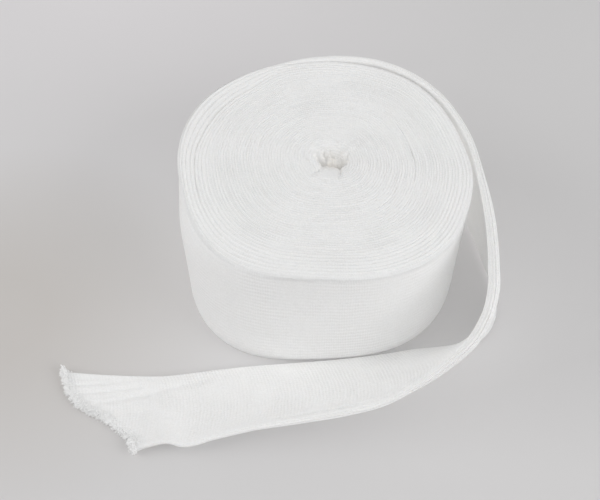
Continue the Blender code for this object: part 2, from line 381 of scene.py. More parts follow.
# Thin lengthwise grooves along the puffed edge, where the fold was pressed
BEAD_GROOVE_ROWS = (
    # distance from the bead's middle towards the roll, half width, depth, from and to along the tail, in mm
    (-0.9, 0.42, 0.90, 60, 540),
    (1.3, 0.38, 0.60, 30, 560),
    (2.5, 0.36, 0.50, 120, 540),
    (-2.3, 0.42, 0.60, 180, 430),
)
BEAD_GROOVE_FADE = 45 * MM
BEAD_GROOVE_REACH = 3.2 * MM
TAIL_STATION = 1.8 * MM
TAIL_MIDDLE_SHARES = 58
LOWER_EDGE_DISTANCES = (0.0, 0.12, 0.4, 0.9, 1.6, 2.6, 4.0, 6.0, 9.0)
UPPER_EDGE_ROUND = 3.6
UPPER_EDGE_STEPS = 26
UPPER_EDGE_DISTANCES = (4.3, 5.0, 5.6, 6.0, 6.4, 7.0, 7.8, 9.0, 10.5, 12.5)
HEADING_STEP = 0.1 * MM

# A lengthwise crease on the tail's face, beside the puffed edge
EDGE_CREASE_ROWS = (
    # distance along the tail in mm, distance from the fold in mm
    (300, 5.2),
    (375, 4.2),
    (430, 6.4),
    (520, 6),
)
EDGE_CREASE_HALF_WIDTH = 1.2 * MM
EDGE_CREASE_DEPTH = 1.7 * MM
EDGE_CREASE_RUN = (120 * MM, 260 * MM, 400 * MM, 520 * MM)

# Creases where the tail lies flat near its cut end
TAIL_CREASE_ROWS = (
    # from x, from y, to x, to y, half width, depth, in mm
    (-154, -137, -122, -130.5, 2.4, 1.3),
    (-122, -130.5, -84, -119.5, 3, 1.1),
    (-84, -119.5, -56, -110, 3.6, 0.6),
    (-166, -128.5, -128, -124.5, 1.8, 0.8),
    (-176, -122.5, -136, -119.5, 1.1, 0.8),
    (-172, -129.5, -146, -127.5, 1, 0.7),
    (-170, -117.5, -116, -116.5, 1.5, 0.6),
    (-160, -133, -138, -130, 1, 0.8),
    (-178, -125.6, -150, -124, 1.2, -0.6),
    (-150, -143, -120, -146, 3, 0.7),
)
TAIL_CREASE_RUN = (30 * MM, 70 * MM)
TAIL_CREASE_EDGE = 4 * MM

# Small waves in the tail's free cloth
RIPPLE_ROWS = (
    # height in mm, degrees across the cloth, first degree, length in mm, seed
    (0.30, 150, 40, 34, 6),
    (0.16, 300, 0, 13, 7),
)
RIPPLE_RUN = (60 * MM, 200 * MM)
RIPPLE_EDGE = 6 * MM

# The open end of the tube
LAYER_THICKNESS = 0.6 * MM
LEAST_HALF = 0.02 * MM
MOUTH_DEPTH = 7 * MM
MOUTH_STEPS = (0.0, 0.35, 1.0)
MOUTH_GAPE = 0.35 * MM
MOUTH_GAPE_LENGTH = 22 * MM

# The threads of the frayed cut. Hook is how far round a thread curls, where 1 comes back to its start.
THREAD_KINDS = {
    # reach, spread, rise and radius in mm, hook, points, sides
    "loop": ((1.4, 4.9), (-1.6, 1.6), (-0.1, 1.2), (0.336, 0.483), (0.75, 1.05), 8, 5),
    "curl": ((0.8, 2.0), (-1.2, 1.2), (0.1, 0.7), (0.294, 0.42), (0.7, 1.05), 8, 5),
    "corner": ((0.6, 6.0), (-3.5, 3.5), (0.0, 2.6), (0.294, 0.462), (0.6, 1.1), 10, 5),
    "fibre": ((1.5, 5.0), (-2.0, 2.0), (-0.4, 1.4), (0.07,), (0.4, 0.9), 6, 3),
}
THREAD_TAPER = 0.6
THREAD_KNIT_STEP = 0.5 * MM
THREAD_SPREAD_POWER = 1.3
STEEP = 0.9
LOOP_SPACING = 0.70 * MM
LOOP_SHIFT = 0.3
LOOP_BACK = 0.9 * MM
CURL_COUNT = 400
CURL_BACK = (-2.2 * MM, 4.2 * MM)
CURL_SIDE_SHARES = (0.3, 0.7)
CURL_LIFT = 0.35 * MM
CORNER_THREADS = 70
CORNER_SPREAD = 3.4
CORNER_BACK = 1.0 * MM
CORNER_TURN = 0.9
CORNER_RISE = 0.9
FIBRE_COUNT = 420
FIBRE_TURN = 0.5
FRAY_LOWEST = 0.15 * MM
CUT_POINTS = 241
SEED = 31

# The knit: wales run along the tube and courses run across it
WALE = 2.5 * MM
COURSE = 1.75 * MM
RIB = 3.5 * MM
DRAWN_OUT = 1.34
DRAWN_OUT_RUN = (230 * MM, 420 * MM)
EDGE_KNIT_WIDTH = 1.6 * OUTER_PITCH
COURSE_DRIFT = 1.2
WALE_DRIFT = 0.5
RIB_DRIFT = 0.9
LEG_SLANT = 0.5

# Each cloth's looks: how strongly its ribs, wale legs and courses show, and how much light comes through
CLOTH_ROWS = (
    # name, ribs, legs, courses, grain, bump in mm, share of light let through
    ("cotton_stockinette", 0.34, 0.16, 0.20, 1.6, 0.36, 0.0),
    ("thin_stockinette", 0.16, 0.28, 0.44, 1.9, 0.36, 0.64),
    ("frayed_cotton", 0.0, 0.0, 0.0, 0.4, 0.10, 0.0),
)
LYING_THROUGH = 0.04
LYING_RUN = (0.22, 0.33)
FOLD_THROUGH = 0.04
FOLD_SOLID = (0.003, 0.0065)
FOLD_PLAIN = (0.004, 0.014)
NEAR_ROLL = (0.05, 0.22)
LEAD_RUN = (0.03, 0.13)
COURSE_BOW = 2.4
COURSE_AT_FOLD = 0.15
COURSE_NEAR_ROLL = 0.6
RIB_NEAR_ROLL = 2.2
CLOTH_DARK = (0.805, 0.803, 0.794, 1.0)
CLOTH_LIGHT = (0.946, 0.946, 0.944, 1.0)
THROUGH_COLOUR = (0.93, 0.925, 0.915, 1.0)
YARN_DARK = (0.84, 0.84, 0.835, 1.0)
YARN_LIGHT = (0.94, 0.94, 0.938, 1.0)

# The scale, detail and roughness of each noise
FUZZ_NOISE = (1300.0, 2.0, 0.6)
LINT_NOISE = (420.0, 3.0, 0.65)
STITCH_NOISE = (1000.0, 1.0, 0.5)
YARN_NOISE = (900.0, 2.0, 0.6)
CLOUD_NOISE = (26.0, 2.0, 0.5)
PATCH_NOISE = (28.0, 2.0, 0.5)
DRIFT_NOISE = (70.0, 2.0, 0.5)
FLOOR_NOISE = (3.0, 2.0, 0.5)

# How much each kind of grain shows in the relief and in the colour
PATCH_RANGES = ((0.36, 0.64), (0.15, 1.6))
FUZZ_BUMP = 0.5
LINT_BUMP = 0.9
STITCH_BUMP = 0.25
BUMP_STRENGTH = 0.7
SHADE_START = -0.15
# Painted shade: how much darker the knit's valleys are painted in the colour
RELIEF_PAINTED_SHADE = 0.8
CLOUD_SHADE = 0.3
LINT_SHADE = 0.4
STITCH_SHADE = 0.5
ROUGHNESS_RANGE = (0.82, 0.98)
KNIT_SUBSURFACE = 0.3
YARN_SUBSURFACE = 0.1
COTTON_SETTINGS = {
    "Sheen Weight": 0.25,
    "Sheen Roughness": 0.55,
    "Specular IOR Level": 0.25,
    "Subsurface Scale": 1.6 * MM,
    "Subsurface Radius": (1.0, 0.95, 0.9),
}

# Painted shade: the cotton in the drawn-in middle is tinted darker and warmer, standing in for the shade in
# its hollow
MIDDLE_SHADE_TINT = (0.87, 0.835, 0.785, 1.0)
MIDDLE_SHADE_PLACE = (8.8 * MM, 7.4 * MM, 91.5 * MM)
MIDDLE_SHADE_REACH = (4 * MM, 15 * MM)
MIDDLE_SHADE_SHARE = 0.55

# The table has painted shade at the left, a touch darker and warmer, and painted light at the back, a touch
# lighter
FLOOR_REACH = 3.0
FLOOR_DARK = (0.630, 0.622, 0.624, 1.0)
FLOOR_LIGHT = (0.670, 0.662, 0.662, 1.0)
FLOOR_SETTINGS = {"Roughness": 0.6, "Specular IOR Level": 0.3}
FLOOR_PAINTED_SHADE_AND_LIGHT = (
    # middle, full and no effect at these distances, colour
    ((-0.24, -0.06, 0.0), (0.04, 0.18), (0.885, 0.858, 0.825, 1.0)),
    ((-0.20, 0.42, 0.0), (0.08, 0.40), (1.15, 1.135, 1.15, 1.0)),
)

# Soft studio light: an even surround, large soft boxes, and fill light that casts no shadows
WORLD_COLOUR = (1.0, 0.998, 1.0, 1.0)
WORLD_STRENGTH = 0.422
LIGHT_TARGET = (0.0, 0.0, 0.03)
LIGHT_ROWS = (
    # name, x, y, z, width, height, power, casts shadows
    ("soft_left", -1.7, -0.2, 1.0, 1.5, 1.2, 10.8, True),
    ("soft_right", 1.5, -1.0, 1.0, 1.5, 1.2, 11.5, True),
    ("soft_front", -0.1, -1.8, 1.2, 1.6, 1.0, 3.4, True),
    ("fill_left", -1.7, -0.2, 1.0, 1.5, 1.2, 2.6, False),
    ("fill_right", 1.5, -1.0, 1.0, 1.5, 1.2, 6.2, False),
    ("fill_back", 0.1, 1.5, 1.4, 1.8, 1.2, 5.2, False),
    ("fill_top", 0.0, 0.1, 2.0, 1.6, 1.6, 2.3, False),
)


def smooth_step(value, low, high):
    share = np.clip((value - low) / (high - low), 0.0, 1.0)
    return share * share * (3.0 - 2.0 * share)


def between(value, start, full, fading, end):
    """One from full to fading, easing to nothing at start and at end."""
    return smooth_step(value, start, full) * (1.0 - smooth_step(value, fading, end))


def mound(away, half_width):
    return np.exp(-((away / half_width) ** 2))


def running_total(steps):
    return np.concatenate([[0.0], np.cumsum(steps)])


def unit(vectors):
    return vectors / (np.linalg.norm(vectors, axis=-1, keepdims=True) + LEAST_LENGTH)


def from_polar(radius, angle):
    turn = np.radians(angle)
    return radius * np.cos(turn), radius * np.sin(turn)


def angle_apart(first, second):
    return np.abs((first - second + 180.0) % 360.0 - 180.0)


def swell(angle, middle, half_width):
    """One at the middle angle, easing to nothing at half_width away."""
    return 1.0 - smooth_step(angle_apart(angle, middle), 0.0, half_width)


def smooth_curve(places, points, wanted):
    """A cubic curve through points at given places along it, read at the wanted places."""
    slopes = np.gradient(points, places, axis=0)
    index = np.clip(np.searchsorted(places, wanted) - 1, 0, len(places) - 2)
    span = (places[index + 1] - places[index])[:, None]
    t = ((wanted - places[index])[:, None]) / span
    eased = 3 * t ** 2 - 2 * t ** 3
    start = (1 - eased) * points[index] + (t ** 3 - 2 * t ** 2 + t) * span * slopes[index]
    end = eased * points[index + 1] + (t ** 3 - t ** 2) * span * slopes[index + 1]
    return start + end


def lean(angle):
    return LEAN_IN * swell(angle, LEAN_ANGLE, LEAN_HALF_WIDTH)


def shoulder(angle):
    return SHOULDER_IN * swell(angle, SHOULDER_ANGLE, SHOULDER_HALF_WIDTH)


def bulge(angle):
    """The last turns stand out a little at the rim in two places."""
    out = 0.0
    for middle, half_angle, distance in BULGE_ROWS:
        out = out + distance * MM * swell(angle, middle, half_angle)
    return out


def wound_part(angle):
    """The share of a turn from where the last turn comes away."""
    return ((angle - STEP_ANGLE) % 360.0) / 360.0


def outline_radius(angle):
    """The roll's radius at its rim, with one more turn all round."""
    turn = np.radians(angle)
    share = 1.0
    for waves, cosine, sine in OUTLINE_WAVES:
        share = share + cosine * np.cos(waves * turn) + sine * np.sin(waves * turn)
    return ROLL_RADIUS * share + TURN_THICKNESS / 2.0 - lean(angle) - shoulder(angle) + bulge(angle)


def rim_radius(angle):
    """The roll's radius at its rim, with the step where the last turn comes away."""
    return outline_radius(angle) - TURN_THICKNESS * wound_part(angle)


def top_height(angle, share):
    """The height of the top face at a share of the radius, without the drawn-in middle."""
    height = ROLL_HEIGHT - DISH_DEPTH * (1.0 - smooth_step(share, *DISH_SHARES))
    slip = SLIP_DROP * swell(angle, SLIP_ANGLE, SLIP_HALF_WIDTH)
    height = height - slip * smooth_step(share, 1.0 - SLIP_SHARE, 1.0)
    return height - RIM_ROUNDING * smooth_step(share, RIM_ROUNDING_SHARE, 1.0) ** 2


def wall_inset(angle, height):
    """How far the wall stands inside the rim at a height, or outside it where that is negative."""
    share = height / ROLL_HEIGHT
    top = top_height(angle, 1.0) / ROLL_HEIGHT
    taper = (WALL_TAPER - lean(angle)) * (1.0 - share)
    rise = np.clip((share - SHOULDER_START_SHARE) / (top - SHOULDER_START_SHARE), 0.0, 1.0)
    round_over = shoulder(angle) * (1.0 - rise ** SHOULDER_POWER)
    stands_out = bulge(angle) * (1.0 - smooth_step(share, *BULGE_HEIGHT_SHARES))
    foot = np.maximum(0.0, 1.0 - height / FOOT_ROUNDING_HEIGHT) ** FOOT_ROUNDING_POWER
    return taper + FOOT_ROUNDING * foot - round_over + stands_out


def crease_depth(rows, x, y):
    """How deep the creases are at points of a face. Each crease is a soft straight stroke."""
    depth = np.zeros_like(x)
    for from_x, from_y, to_x, to_y, half_width, deep in rows:
        along_x, along_y = (to_x - from_x) * MM, (to_y - from_y) * MM
        length_2 = along_x ** 2 + along_y ** 2
        t = np.clip(((x - from_x * MM) * along_x + (y - from_y * MM) * along_y) / length_2, 0.0, 1.0)
        away = np.hypot(x - from_x * MM - t * along_x, y - from_y * MM - t * along_y)
        depth = depth + deep * MM * mound(away, half_width * MM)
    return depth


def wave_noise(first, second, seed):
    """A smooth irregular value from -1 to 1, from a few crossed waves. It repeats round the roll."""
    turn = np.radians(first)
    value = 0.0
    total = 0.0
    slowest, by_wave, by_seed = NOISE_SPEEDS
    for i in range(1, NOISE_WAVES + 1):
        waves = 1 + (seed * 3 + i * 2) % NOISE_MOST_ROUND
        speed = slowest + by_wave * i + by_seed * seed
        value = value + np.sin(waves * turn + speed * second + NOISE_PHASE * i * seed) / i
        total += 1.0 / i
    return value / total


TURN_TABLE = np.linspace(0.0, TURNS, 2001)
PITCH_TABLE = INNER_PITCH + (OUTER_PITCH - INNER_PITCH) * (1.0 - smooth_step(TURN_TABLE, *LOOSE_TURNS))
DEPTH_STEPS = (PITCH_TABLE[1:] + PITCH_TABLE[:-1]) / 2 * np.diff(TURN_TABLE)
DEPTH_TABLE = running_total(DEPTH_STEPS)


def even_share(turns_in, angle):
    """The share of the radius at a number of turns in, with every turn evenly wound."""
    left = 1.0 - np.interp(turns_in, TURN_TABLE, DEPTH_TABLE) / DEPTH_TABLE[-1]
    return outline_radius(angle) * left / rim_radius(angle)


def wound_share(turns_in, angle):
    """The share of the radius at a number of turns in, shifted so that the groove follows its rows."""
    share = even_share(turns_in, angle)
    at_groove = even_share(GROOVE_TURNS + wound_part(angle), angle)
    rows = np.array(GROOVE_ROWS, float)
    flat = np.clip(angle, rows[0, 0], rows[-1, 0]).ravel()
    wanted = smooth_curve(rows[:, 0], rows[:, 1:], flat).reshape(angle.shape)
    shift = (wanted - at_groove) * between(angle, *GROOVE_FADES)
    outside = np.clip((1.0 - share) / (1.0 - at_groove), 0.0, 1.0)
    inside = np.clip(share / at_groove, 0.0, 1.0) ** 3
    return share + shift * np.minimum(outside, inside)


def ridge_drop(angle, turn, middle_turn, depth_rows):
    """How far points across a turn lie below its crown. The outer turns stand out most at the left."""
    from_rim = turn - wound_part(angle)
    angles, strengths = zip(*OUTER_RIDGE_ROWS)
    outer = np.interp(angle, angles, strengths)
    strength = outer + (INNER_RIDGE_SHARE - outer) * smooth_step(from_rim, *OUTER_RIDGE_TURNS)
    varied = wave_noise(angle, RIDGE_WAVE_SPEED * middle_turn, seed=5)
    strength = strength * (1.0 + RIDGE_VARIATION * varied)
    near_core = smooth_step(1.0 - turn / TURNS, *CORE_SHARES)
    strength = strength * (CORE_RIDGE_SHARE + (1.0 - CORE_RIDGE_SHARE) * near_core)
    depth = depth_rows[None, :] * RIDGE_DEPTH
    return np.where(depth_rows[None, :] > FLANGE_DEPTH, depth, depth * strength)


def wave_round(turn, count, phase):
    return np.sin(count * turn + phase)


def drawn_in_depth(x, y):
    """How deep the middle is drawn in, with gathers round it."""
    away = np.hypot(x - PUCKER_X, y - PUCKER_Y)
    turn = np.arctan2(y - PUCKER_Y, x - PUCKER_X)
    swayed = GATHER_COUNT * turn + GATHER_SWAY * wave_round(turn, *GATHER_SWAY_WAVE)
    gather = np.sin(swayed + GATHER_TWIST * away)
    even, varying = GATHER_EVENNESS
    uneven = even + varying * wave_round(turn, *GATHER_EVENNESS_WAVE)
    drawn_in = PUCKER_DEPTH * (1.0 - smooth_step(away, 0.0, PUCKER_REACH)) ** PUCKER_POWER
    return drawn_in + GATHER_DEPTH * between(away, *GATHER_REACH) * uneven * gather


def top_points(turns_in, across, depth_rows):
    """Points of the top face: the turns in at each station, then the share and depth across each turn."""
    angle = ((STEP_ANGLE + 360.0 * turns_in) % 360.0)[:, None] + np.zeros_like(across)[None, :]
    turn = turns_in[:, None] + across[None, :]
    share = wound_share(np.clip(turn, 0.0, TURNS), angle)
    middle_turn = turns_in[:, None] + 0.5
    sideways = FINE_SIDE_UNEVENNESS * wave_noise(angle, turn, seed=2)
    sideways = sideways + SIDE_UNEVENNESS * wave_noise(angle, SIDE_WAVE_SPEED * turn, seed=5)
    reach = share * rim_radius(angle) + sideways * between(share, *SIDE_UNEVENNESS_SHARES)
    drop = ridge_drop(angle, turn, middle_turn, depth_rows)
    for number, middle, half_angle, deep, half_width in GAP_ROWS:
        off = turn - (number + wound_part(angle))
        open_here = smooth_step(1.0 - angle_apart(angle, middle) / half_angle, 0.0, GAP_EASE)
        near = np.clip(1.0 - np.abs(off) / GAP_PUSH_TURNS, 0.0, 1.0)
        reach = reach - np.sign(off) * half_width * MM * open_here * near
        drop = drop + deep * MM * open_here * np.clip(1.0 - np.abs(off) / GAP_LIP_TURNS, 0.0, 1.0)
    x, y = from_polar(reach, angle)
    x = x + (1.0 - share) * PUCKER_X
    y = y + (1.0 - share) * PUCKER_Y
    uneven = TURN_UNEVENNESS * wave_noise(angle, TURN_WAVE_SPEED * middle_turn, seed=3)
    uneven = uneven * (1.0 - smooth_step(share, EVEN_RIM_SHARE, 1.0))
    hidden = CAP_SINK * (1.0 - smooth_step(turn - wound_part(angle), *CAP_SINK_TURNS))
    pressed = drop + drawn_in_depth(x, y) + crease_depth(CREASE_ROWS, x, y) + hidden
    return x, y, top_height(angle, share) - pressed + uneven, reach


def grid_faces(rows, columns, start=0, closed=False):
    """The four-cornered faces of a grid of points."""
    faces = []
    last = columns if closed else columns - 1
    for row in range(rows - 1):
        for column in range(last):
            beside = (column + 1) % columns
            first = start + row * columns
            second = first + columns
            faces.append((first + column, first + beside, second + beside, second + column))
    return faces


class Surface:
    """Points, faces and knit coordinates of one piece, gathered grid by grid."""

    def __init__(self):
        self.points = []
        self.faces = []
        self.knit = []
        self.count = 0

    def add(self, x, y, z, along, across, faces):
        x, y, z, along, across = np.broadcast_arrays(x, y, np.maximum(z, LOWEST), along, across)
        self.points.append(np.stack([x.ravel(), y.ravel(), z.ravel()], axis=1))
        self.knit.append(np.stack([along.ravel(), across.ravel()], axis=1))
        self.faces.extend(tuple(self.count + corner for corner in face) for face in faces)
        self.count += x.size

    def build(self, name, material):
        mesh = bpy.data.meshes.new(name)
        mesh.from_pydata(np.concatenate(self.points).tolist(), [], self.faces)
        mesh.materials.append(material)
        knit = np.concatenate(self.knit)
        layer = mesh.uv_layers.new(name="knit")
        corners = np.empty(len(mesh.loops), dtype=np.int32)
        mesh.loops.foreach_get("vertex_index", corners)
        layer.data.foreach_set("uv", knit[corners].ravel())
        mesh.shade_smooth()
        mesh.update()
        obj = bpy.data.objects.new(name, mesh)
        bpy.context.scene.collection.objects.link(obj)
        return obj


def winding_stations(length, widest_angle):
    """The turns in at each station along the spiral, from the loose end inwards."""
    stations = [0.0]
    while stations[-1] < TURNS - CORE_TURNS:
        radius = ROLL_RADIUS * (1.0 - stations[-1] / TURNS)
        step = min(widest_angle, math.degrees(length / radius))
        stations.append(stations[-1] + step / 360.0)
    return np.array(stations)


def add_top(surface):
    stations = winding_stations(STATION_LENGTH, STATION_ANGLE)
    rows = np.array(RIDGE_ROWS)
    x, y, z, reach = top_points(stations, rows[:, 0], rows[:, 1])
    middle = reach[:, len(rows) // 2]
    steps = np.radians(360.0 * np.diff(stations)) * (middle[1:] + middle[:-1]) / 2.0
    along = running_total(steps)[:, None]
    across = (rows[None, :, 0] - 0.5) * EDGE_KNIT_WIDTH
    faces = [tuple(reversed(face)) for face in grid_faces(len(stations), len(rows))]
    surface.add(x, y, z, along, across, faces)


def add_wall(surface):
    angles = np.arange(0.0, 360.0 + WALL_ANGLE_STEP / 2, WALL_ANGLE_STEP)
    turned = STEP_ANGLE + np.clip(angles, SEAM_CLEARANCE, 360.0 - SEAM_CLEARANCE)
    angle = (turned % 360.0)[:, None] + np.zeros(WALL_ROWS)[None, :]
    top = top_height(angle, 1.0) - CAP_RADIUS
    share = np.linspace(0.0, 1.0, WALL_ROWS)[None, :]
    # Rows gather towards the foot's rounding and the shoulder
    share = share - WALL_ROW_GATHERING / math.tau * np.sin(math.tau * share)
    height = WALL_START + (top - WALL_START) * share
    waved = WALL_WAVE_SPEED * height / ROLL_HEIGHT + WALL_WAVE_START
    uneven = WALL_UNEVENNESS * wave_noise(angle, waved, seed=4)
    uneven = uneven * np.sin(math.pi * share) ** WALL_WAVE_POWER
    radius = rim_radius(angle) - wall_inset(angle, height) + uneven
    # The cap: a quarter round from the wall to the crown of the last turn
    round_off = np.linspace(0.0, math.pi / 2.0, CAP_STEPS + 1)[None, 1:]
    cap_angle = angle[:, :1] + np.zeros_like(round_off)
    cap_inset = CAP_RADIUS * (1.0 - np.cos(round_off))
    cap_radius = rim_radius(cap_angle) - cap_inset
    cap_share = cap_radius / rim_radius(cap_angle)
    cap_height = top_height(cap_angle, cap_share) - CAP_RADIUS * (1.0 - np.sin(round_off))
    angle = np.concatenate([angle, cap_angle], axis=1)
    radius = np.concatenate([radius, cap_radius], axis=1)
    z = np.concatenate([height, cap_height], axis=1)
    x, y = from_polar(radius, angle)
    along = np.radians(turned)[:, None] * ROLL_RADIUS
    surface.add(x, y, z, along, z - cap_inset.max(), grid_faces(len(angles), WALL_ROWS + CAP_STEPS))


def add_foot(surface):
    stations = winding_stations(FOOT_STATION_LENGTH, 2.0 * STATION_ANGLE)
    rows = np.array(FOOT_RIDGE_ROWS)
    angle = ((STEP_ANGLE + 360.0 * stations) % 360.0)[:, None] + np.zeros(len(rows))[None, :]
    turn = stations[:, None] + rows[None, :, 0]
    share = even_share(np.clip(turn, 0.0, TURNS), angle)
    reach = share * (rim_radius(angle) - wall_inset(angle, 0.0))
    x, y = from_polar(reach, angle)
    uneven = FOOT_UNEVENNESS * (1.0 + wave_noise(angle, RIDGE_WAVE_SPEED * turn, seed=5))
    z = rows[None, :, 1] * RIDGE_DEPTH + uneven
    along = stations[:, None] * math.tau * ROLL_RADIUS / 2.0
    across = rows[None, :, 0] * OUTER_PITCH
    surface.add(x, y, z, along, across, grid_faces(len(stations), len(rows)))
    # A shallow cone closes the middle
    sides = FOOT_MIDDLE_SIDES
    x, y = from_polar(FOOT_MIDDLE_RADIUS, np.linspace(0.0, 360.0, sides, endpoint=False))
    x = np.concatenate([[0.0], x])
    y = np.concatenate([[0.0], y])
    low, high = FOOT_MIDDLE_HEIGHTS
    z = np.concatenate([[low], np.full(sides, high)])
    faces = [(0, 1 + (i + 1) % sides, 1 + i) for i in range(sides)]
    surface.add(x, y, z, x, y, faces)


def add_tuft(surface):
    angles = np.linspace(0.0, 360.0, TUFT_SIDES, endpoint=False)
    shares = np.linspace(TUFT_FIRST_SHARE, 1.0, TUFT_RINGS)
    angle, share = np.meshgrid(angles, shares)
    turn = np.radians(angle)
    edge = 1.0 + sum(out * wave_round(turn, count, phase) for out, count, phase in TUFT_EDGE_WAVES)
    x = TUFT_X + TUFT_HALF_X * share * edge * np.cos(turn)
    y = TUFT_Y + TUFT_HALF_Y * share * edge * np.sin(turn)
    fold = np.cos(TUFT_FOLDS * turn + TUFT_FOLD_TWIST * share + np.sin(2 * turn))
    fold = fold * smooth_step(share, *TUFT_FOLD_SHARES)
    z = top_height(angle, 0.0) - drawn_in_depth(x, y) - crease_depth(CREASE_ROWS, x, y)
    z = z + TUFT_RISE * (1.0 - share ** 2) - TUFT_SIDE * share ** TUFT_SIDE_POWER + TUFT_FOLD_DEPTH * fold
    first = surface.count
    surface.add(x, y, z, x, y, grid_faces(TUFT_RINGS, TUFT_SIDES, closed=True))
    surface.faces.append(tuple(range(first, first + TUFT_SIDES)))


def make_roll(material):
    surface = Surface()
    add_top(surface)
    add_wall(surface)
    add_foot(surface)
    add_tuft(surface)
    return surface.build("wound_roll", material)


def tail_edges():
    """The tail's two edges at each row, as arrays of points in metres."""
    lower, upper = [], []
    for angle, upper_gap, lower_gap, lower_z in LEAD_ROWS + BESIDE_ROLL_ROWS:
        rim = rim_radius(angle)
        sink = LEAD_SINK * smooth_step(angle, *LEAD_SINK_ANGLES)
        upper.append((*from_polar(rim + upper_gap * MM, angle), ROLL_HEIGHT - sink))
        lower.append((*from_polar(rim + lower_gap * MM, angle), lower_z * MM))
    for row in FREE_ROWS:
        lower.append(tuple(value * MM for value in row[:3]))
        upper.append(tuple(value * MM for value in row[3:]))
    return np.array(lower), np.array(upper)


class Tail:
    """The tail's middle surface and thickness, read at any place along it and share across it."""

    def __init__(self):
        self.lower, self.upper = tail_edges()
        middle = (self.lower + self.upper) / 2.0
        steps = np.linalg.norm(np.diff(middle, axis=0), axis=1)
        self.places = running_total(steps)
        self.length = self.places[-1]
        self.lead = self.places[len(LEAD_ROWS)]

    def frame_at(self, place, share):
        """Points on the middle surface with the directions along, across and out of the cloth."""
        flat = place.ravel()
        across = share.ravel()[:, None]
        lines = []
        for shift in (-HEADING_STEP, 0.0, HEADING_STEP):
            wanted = np.clip(flat + shift, 0.0, self.length)
            low = smooth_curve(self.places, self.lower, wanted)
            high = smooth_curve(self.places, self.upper, wanted)
            lines.append(low + (high - low) * across)
            if shift == 0.0:
                cross = high - low
        heading = unit(lines[2] - lines[0])
        width = np.linalg.norm(cross, axis=1)
        return lines[1], heading, unit(cross), unit(np.cross(heading, cross)), width

    def half_thickness(self, place, share, width):
        """Half the tube's thickness: thin across the middle, round and puffed at both edges."""
        puffed = np.interp((place - self.lead) / MM, *zip(*UPPER_EDGE_THICKNESS_ROWS)) * MM
        thinning = smooth_step(place, self.length - END_THINNING, self.length)
        lower = LOWER_EDGE_THICKNESS + (END_EDGE_THICKNESS - LOWER_EDGE_THICKNESS) * thinning
        cloth = CLOTH_THICKNESS + (END_CLOTH_THICKNESS - CLOTH_THICKNESS) * thinning
        bead = np.where(share > 0.5, puffed, lower) / 2.0
        inside = np.where(share > 0.5, 1.0 - share, share) * width
        round_end = np.sqrt(np.maximum(0.0, 1.0 - (1.0 - np.minimum(inside / bead, 1.0)) ** 2))
        fade = smooth_step(inside, bead, bead + EDGE_FADE)
        half = bead + (cloth / 2.0 - bead) * fade
        gape = MOUTH_GAPE * smooth_step(place, self.length - MOUTH_GAPE_LENGTH, self.length)
        return round_end * (half + gape * np.sin(math.pi * share) ** 0.5)

    def place_of(self, along, share):
        """Each lengthwise line is drawn back near the end, so the cut slants."""
        cut_shares, cut_backs = zip(*CUT_ROWS)
        slant = max(cut_backs) * MM
        short = (np.interp(share, cut_shares, cut_backs) + CUT_BACK) * MM
        return along - short * smooth_step(along, self.length - 2.0 * slant, self.length)

    def surface_points(self, along, share, side, inset=0.0):
        """Points of one face of the tube. Side 1 faces the roll and lies uppermost in front."""
        place = self.place_of(along, share)
        points, _, across, facing, width = self.frame_at(place, share)
        flat_place, flat_share = place.ravel(), share.ravel()
        half = self.half_thickness(flat_place, flat_share, width)
        half = np.maximum(half - inset, LEAST_HALF * (half > 0))
        points = self.lay_on_wall(points, flat_place, flat_share)
        points = points - across * self.bead_grooves(flat_place, flat_share, width, side * half)[:, None]
        offset = side * half + self.ripples(points, flat_place, flat_share, width, side)
        return points + facing * offset[:, None]

    def lay_on_wall(self, points, place, share):
        """Over the lead the cloth still lies in the roll's last turn, so it follows the wall's form."""
        angle = np.degrees(np.arctan2(points[:, 1], points[:, 0])) % 360.0
        angle = np.clip(angle, *LEAD_ANGLES)
        held = smooth_step(angle, *LEAD_FADE) * (place < LEAD_HELD_SHARE * self.lead)
        height = points[:, 2]
        buried = TURN_THICKNESS / 2.0 + LEAD_INSET * smooth_step(angle, *LEAD_FADE)
        radius = rim_radius(angle) - wall_inset(angle, height) - buried
        now = np.hypot(points[:, 0], points[:, 1])
        scale = 1.0 + held * (radius / now - 1.0)
        moved = points.copy()
        moved[:, 0] *= scale
        moved[:, 1] *= scale
        return moved

    def bead_grooves(self, place, share, width, sideways):
        """How deep the grooves press into the puffed edge, at a distance sideways from its middle."""
        run = place - self.lead
        from_edge = (1.0 - share) * width
        on_bead = 1.0 - smooth_step(from_edge, BEAD_GROOVE_REACH / 2.0, BEAD_GROOVE_REACH)
        depth = np.zeros_like(place)
        for middle, half_width, deep, start, end in BEAD_GROOVE_ROWS:
            start, end = start * MM, end * MM
            here = between(run, start, start + BEAD_GROOVE_FADE, end - BEAD_GROOVE_FADE, end)
            depth = depth + deep * MM * here * mound(sideways / MM - middle, half_width)
        return depth * on_bead

    def ripples(self, points, place, share, width, side):
        """Small waves, the crease beside the puffed edge, and the creases near the cut end."""
        run = place - self.lead
        inside = np.minimum(share, 1.0 - share) * width
        wave = 0.0
        for height, degrees, first, length, seed in RIPPLE_ROWS:
            wave = wave + height * MM * wave_noise(degrees * share + first, run / (length * MM), seed)
        wave = wave * smooth_step(run, *RIPPLE_RUN) * smooth_step(inside, 0.0, RIPPLE_EDGE)
        crease_in = np.interp(run / MM, *zip(*EDGE_CREASE_ROWS)) * MM
        crease = mound((1.0 - share) * width - crease_in, EDGE_CREASE_HALF_WIDTH)
        crease = crease * EDGE_CREASE_DEPTH * between(run, *EDGE_CREASE_RUN)
        lying = smooth_step(-points[:, 0], *TAIL_CREASE_RUN) * smooth_step(inside, 0.0, TAIL_CREASE_EDGE)
        lying_crease = crease_depth(TAIL_CREASE_ROWS, points[:, 0], points[:, 1]) * lying
        return wave - side * crease - lying_crease


